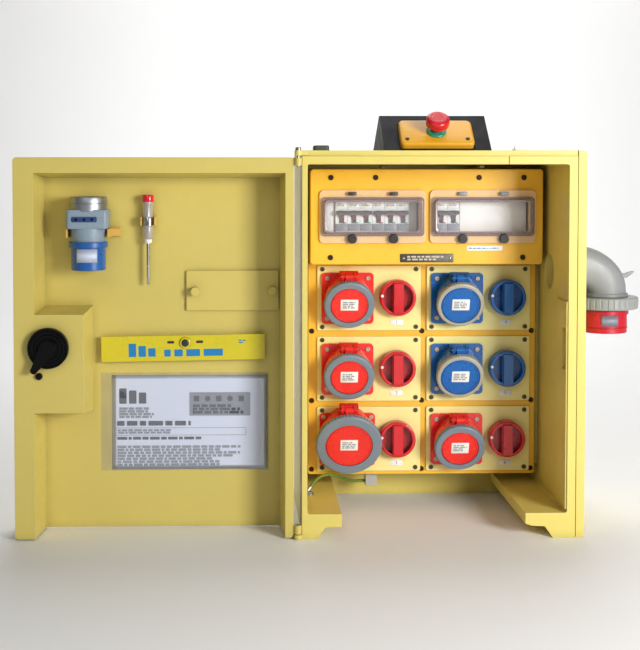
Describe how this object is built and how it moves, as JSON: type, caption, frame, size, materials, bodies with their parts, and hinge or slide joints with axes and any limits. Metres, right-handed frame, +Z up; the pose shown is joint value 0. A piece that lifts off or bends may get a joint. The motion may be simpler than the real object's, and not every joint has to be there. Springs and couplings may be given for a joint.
{
  "type": "portable power distribution box",
  "caption": "Portable power distribution box, door open: tilted sockets with hinged lids, rotary switches, breakers under clear covers, roof emergency stop and side inlet.",
  "frame": {"origin": "on the floor, on the cabinet's centre line, inside its rear base rail, 10 mm in front of the rear face", "axes": "+X to the right seen from the front, +Y towards the rear face, +Z up; the open door lies towards -X"},
  "size_m": [0.8975, 0.2694, 0.5964],
  "materials": {
    "shell_yellow": "fine moulded texture",
    "panel_orange": "fine moulded texture",
    "plate_yellow": "satin",
    "bezel_grey": "smooth",
    "screw_steel": "dark plated",
    "pin_steel": "plain",
    "insert_grey": "matt",
    "equipment_grey": "matt",
    "breaker_white": "satin",
    "toggle_dark": "satin",
    "earth_wire": "green and yellow insulation",
    "lug_tin": "tinned",
    "inlet_grey": "satin",
    "ring_grey": "satin",
    "socket_red": "smooth",
    "socket_blue": "smooth",
    "guard_black": "satin",
    "estop_yellow": "smooth",
    "button_red": "smooth",
    "strip_yellow": "gloss",
    "document_paper": "white sheet in a clear sleeve",
    "clip_orange": "satin",
    "latch_black": "satin",
    "adapter_grey": "satin",
    "tester_clear": "clear",
    "window_clear": "clear polycarbonate",
    "knob_dark": "satin"
  },
  "bodies": {
    "base": {"cabinet": "shell_yellow", "panel_frame": "panel_orange", "breaker_cover": "panel_orange", "window_bezels": "bezel_grey", "socket_plates": "plate_yellow", "panel_screws": "screw_steel", "socket_1": "socket_red", "socket_2": "socket_red", "socket_3": "socket_red", "socket_4": "socket_blue", "socket_5": "socket_blue", "socket_6": "socket_red", "socket_contacts": "insert_grey", "internal_switchgear": "equipment_grey", "breakers": "breaker_white", "earth_wire": "earth_wire", "earth_lug": "lug_tin", "inlet_housing": "inlet_grey", "inlet_shroud": "socket_red", "estop_guard": "guard_black", "estop_box": "estop_yellow", "hinge_pins": "pin_steel"},
    "door": {"door_shell": "shell_yellow", "label_strip": "strip_yellow", "document_sleeve": "document_paper", "accessory_clips": "clip_orange"},
    "latch": {"latch_handle": "latch_black", "latch_cam": "latch_black"},
    "adapter": {"adapter": "adapter_grey"},
    "tester": {"tester": "tester_clear"},
    "window_left": {"window_left": "window_clear"},
    "window_right": {"window_right": "window_clear"},
    "estop_plunger": {"estop_stem": "insert_grey"},
    "estop_button": {"estop_mushroom": "button_red"},
    "inlet_ring": {"inlet_ring": "ring_grey"},
    "window_knob_1": {"window_knob_1": "knob_dark"},
    "window_knob_2": {"window_knob_2": "knob_dark"},
    "window_knob_3": {"window_knob_3": "knob_dark"},
    "window_knob_4": {"window_knob_4": "knob_dark"},
    "breaker_toggle_1": {"breaker_toggle_1": "toggle_dark"},
    "breaker_toggle_2": {"breaker_toggle_2": "toggle_dark"},
    "breaker_toggle_3": {"breaker_toggle_3": "toggle_dark"},
    "socket_lid_1": {"socket_lid_1": "socket_red"},
    "socket_ring_1": {"socket_ring_1": "ring_grey"},
    "switch_handle_1": {"switch_handle_1": "socket_red"},
    "socket_lid_2": {"socket_lid_2": "socket_red"},
    "socket_ring_2": {"socket_ring_2": "ring_grey"},
    "switch_handle_2": {"switch_handle_2": "socket_red"},
    "socket_lid_3": {"socket_lid_3": "socket_red"},
    "socket_ring_3": {"socket_ring_3": "ring_grey"},
    "switch_handle_3": {"switch_handle_3": "socket_red"},
    "socket_lid_4": {"socket_lid_4": "socket_blue"},
    "socket_ring_4": {"socket_ring_4": "ring_grey"},
    "switch_handle_4": {"switch_handle_4": "socket_blue"},
    "socket_lid_5": {"socket_lid_5": "socket_blue"},
    "socket_ring_5": {"socket_ring_5": "ring_grey"},
    "switch_handle_5": {"switch_handle_5": "socket_blue"},
    "socket_lid_6": {"socket_lid_6": "socket_red"},
    "socket_ring_6": {"socket_ring_6": "ring_grey"},
    "switch_handle_6": {"switch_handle_6": "socket_red"}
  },
  "joints": [
    {"name": "door_hinge", "type": "hinge", "parent": "base", "child": "door", "pos_m": [-0.203, -0.245, 0.27], "axis": [0, 0, 1], "range_deg": [0, 180]},
    {"name": "latch_turn", "type": "hinge", "parent": "door", "child": "latch", "pos_m": [-0.5465, -0.25, 0.2685], "axis": [0, 1, 0], "range_deg": [0, 58]},
    {"name": "adapter_lift", "type": "slide", "parent": "door", "child": "adapter", "axis": [0, -1, 0], "range_m": [0, 0.08]},
    {"name": "tester_lift", "type": "slide", "parent": "door", "child": "tester", "axis": [0, -1, 0], "range_m": [0, 0.06]},
    {"name": "window_left_hinge", "type": "hinge", "parent": "base", "child": "window_left", "pos_m": [-0.088, -0.1335, 0.4783], "axis": [-1, 0, 0], "range_deg": [0, 105]},
    {"name": "window_knob_1_turn", "type": "hinge", "parent": "window_left", "child": "window_knob_1", "pos_m": [-0.1185, -0.1345, 0.4118], "axis": [0, 1, 0], "range_deg": [0, 90]},
    {"name": "window_knob_2_turn", "type": "hinge", "parent": "window_left", "child": "window_knob_2", "pos_m": [-0.0575, -0.1345, 0.4118], "axis": [0, 1, 0], "range_deg": [0, 90]},
    {"name": "window_right_hinge", "type": "hinge", "parent": "base", "child": "window_right", "pos_m": [0.075, -0.1335, 0.4783], "axis": [-1, 0, 0], "range_deg": [0, 105]},
    {"name": "window_knob_3_turn", "type": "hinge", "parent": "window_right", "child": "window_knob_3", "pos_m": [0.0445, -0.1345, 0.4118], "axis": [0, 1, 0], "range_deg": [0, 90]},
    {"name": "window_knob_4_turn", "type": "hinge", "parent": "window_right", "child": "window_knob_4", "pos_m": [0.1055, -0.1345, 0.4118], "axis": [0, 1, 0], "range_deg": [0, 90]},
    {"name": "breaker_toggle_1_throw", "type": "hinge", "parent": "base", "child": "breaker_toggle_1", "pos_m": [-0.11445, -0.1082, 0.4435], "axis": [1, 0, 0], "range_deg": [0, 40]},
    {"name": "breaker_toggle_2_throw", "type": "hinge", "parent": "base", "child": "breaker_toggle_2", "pos_m": [-0.05955, -0.1082, 0.4435], "axis": [1, 0, 0], "range_deg": [0, 40]},
    {"name": "breaker_toggle_3_throw", "type": "hinge", "parent": "base", "child": "breaker_toggle_3", "pos_m": [0.02465, -0.1082, 0.4435], "axis": [1, 0, 0], "range_deg": [0, 40]},
    {"name": "socket_lid_1_hinge", "type": "hinge", "parent": "base", "child": "socket_lid_1", "pos_m": [-0.121, -0.11915, 0.35442], "axis": [-1, 0, 0], "range_deg": [0, 105]},
    {"name": "socket_ring_1_turn", "type": "hinge", "parent": "socket_lid_1", "child": "socket_ring_1", "pos_m": [-0.121, -0.111, 0.3145], "axis": [0, -0.9397, -0.342], "range_deg": [0, 25]},
    {"name": "switch_handle_1_turn", "type": "hinge", "parent": "base", "child": "switch_handle_1", "pos_m": [-0.046, -0.095, 0.321], "axis": [0, 1, 0], "range_deg": [0, 90]},
    {"name": "socket_lid_2_hinge", "type": "hinge", "parent": "base", "child": "socket_lid_2", "pos_m": [-0.121, -0.11915, 0.24692], "axis": [-1, 0, 0], "range_deg": [0, 105]},
    {"name": "socket_ring_2_turn", "type": "hinge", "parent": "socket_lid_2", "child": "socket_ring_2", "pos_m": [-0.121, -0.111, 0.207], "axis": [0, -0.9397, -0.342], "range_deg": [0, 25]},
    {"name": "switch_handle_2_turn", "type": "hinge", "parent": "base", "child": "switch_handle_2", "pos_m": [-0.046, -0.095, 0.2135], "axis": [0, 1, 0], "range_deg": [0, 90]},
    {"name": "socket_lid_3_hinge", "type": "hinge", "parent": "base", "child": "socket_lid_3", "pos_m": [-0.121, -0.12318, 0.15601], "axis": [-1, 0, 0], "range_deg": [0, 105]},
    {"name": "socket_ring_3_turn", "type": "hinge", "parent": "socket_lid_3", "child": "socket_ring_3", "pos_m": [-0.121, -0.111, 0.105], "axis": [0, -0.9397, -0.342], "range_deg": [0, 25]},
    {"name": "switch_handle_3_turn", "type": "hinge", "parent": "base", "child": "switch_handle_3", "pos_m": [-0.046, -0.095, 0.1065], "axis": [0, 1, 0], "range_deg": [0, 90]},
    {"name": "socket_lid_4_hinge", "type": "hinge", "parent": "base", "child": "socket_lid_4", "pos_m": [0.045, -0.11832, 0.35217], "axis": [-1, 0, 0], "range_deg": [0, 105]},
    {"name": "socket_ring_4_turn", "type": "hinge", "parent": "socket_lid_4", "child": "socket_ring_4", "pos_m": [0.045, -0.111, 0.3145], "axis": [0, -0.9397, -0.342], "range_deg": [0, 25]},
    {"name": "switch_handle_4_turn", "type": "hinge", "parent": "base", "child": "switch_handle_4", "pos_m": [0.12, -0.095, 0.321], "axis": [0, 1, 0], "range_deg": [0, 90]},
    {"name": "socket_lid_5_hinge", "type": "hinge", "parent": "base", "child": "socket_lid_5", "pos_m": [0.045, -0.11832, 0.24467], "axis": [-1, 0, 0], "range_deg": [0, 105]},
    {"name": "socket_ring_5_turn", "type": "hinge", "parent": "socket_lid_5", "child": "socket_ring_5", "pos_m": [0.045, -0.111, 0.207], "axis": [0, -0.9397, -0.342], "range_deg": [0, 25]},
    {"name": "switch_handle_5_turn", "type": "hinge", "parent": "base", "child": "switch_handle_5", "pos_m": [0.12, -0.095, 0.2135], "axis": [0, 1, 0], "range_deg": [0, 90]},
    {"name": "socket_lid_6_hinge", "type": "hinge", "parent": "base", "child": "socket_lid_6", "pos_m": [0.045, -0.11915, 0.13992], "axis": [-1, 0, 0], "range_deg": [0, 105]},
    {"name": "socket_ring_6_turn", "type": "hinge", "parent": "socket_lid_6", "child": "socket_ring_6", "pos_m": [0.045, -0.111, 0.1], "axis": [0, -0.9397, -0.342], "range_deg": [0, 25]},
    {"name": "switch_handle_6_turn", "type": "hinge", "parent": "base", "child": "switch_handle_6", "pos_m": [0.12, -0.095, 0.1065], "axis": [0, 1, 0], "range_deg": [0, 90]},
    {"name": "estop_press", "type": "slide", "parent": "base", "child": "estop_plunger", "axis": [0, 0.6675, -0.7446], "range_m": [0, 0.004]},
    {"name": "estop_twist", "type": "hinge", "parent": "estop_plunger", "child": "estop_button", "pos_m": [-0.003, -0.17617, 0.56136], "axis": [0, -0.6675, 0.7446], "range_deg": [0, 45]},
    {"name": "inlet_ring_turn", "type": "hinge", "parent": "base", "child": "inlet_ring", "pos_m": [0.2537, -0.135, 0.318], "axis": [0, 0, 1], "range_deg": [0, 25]}
  ]
}
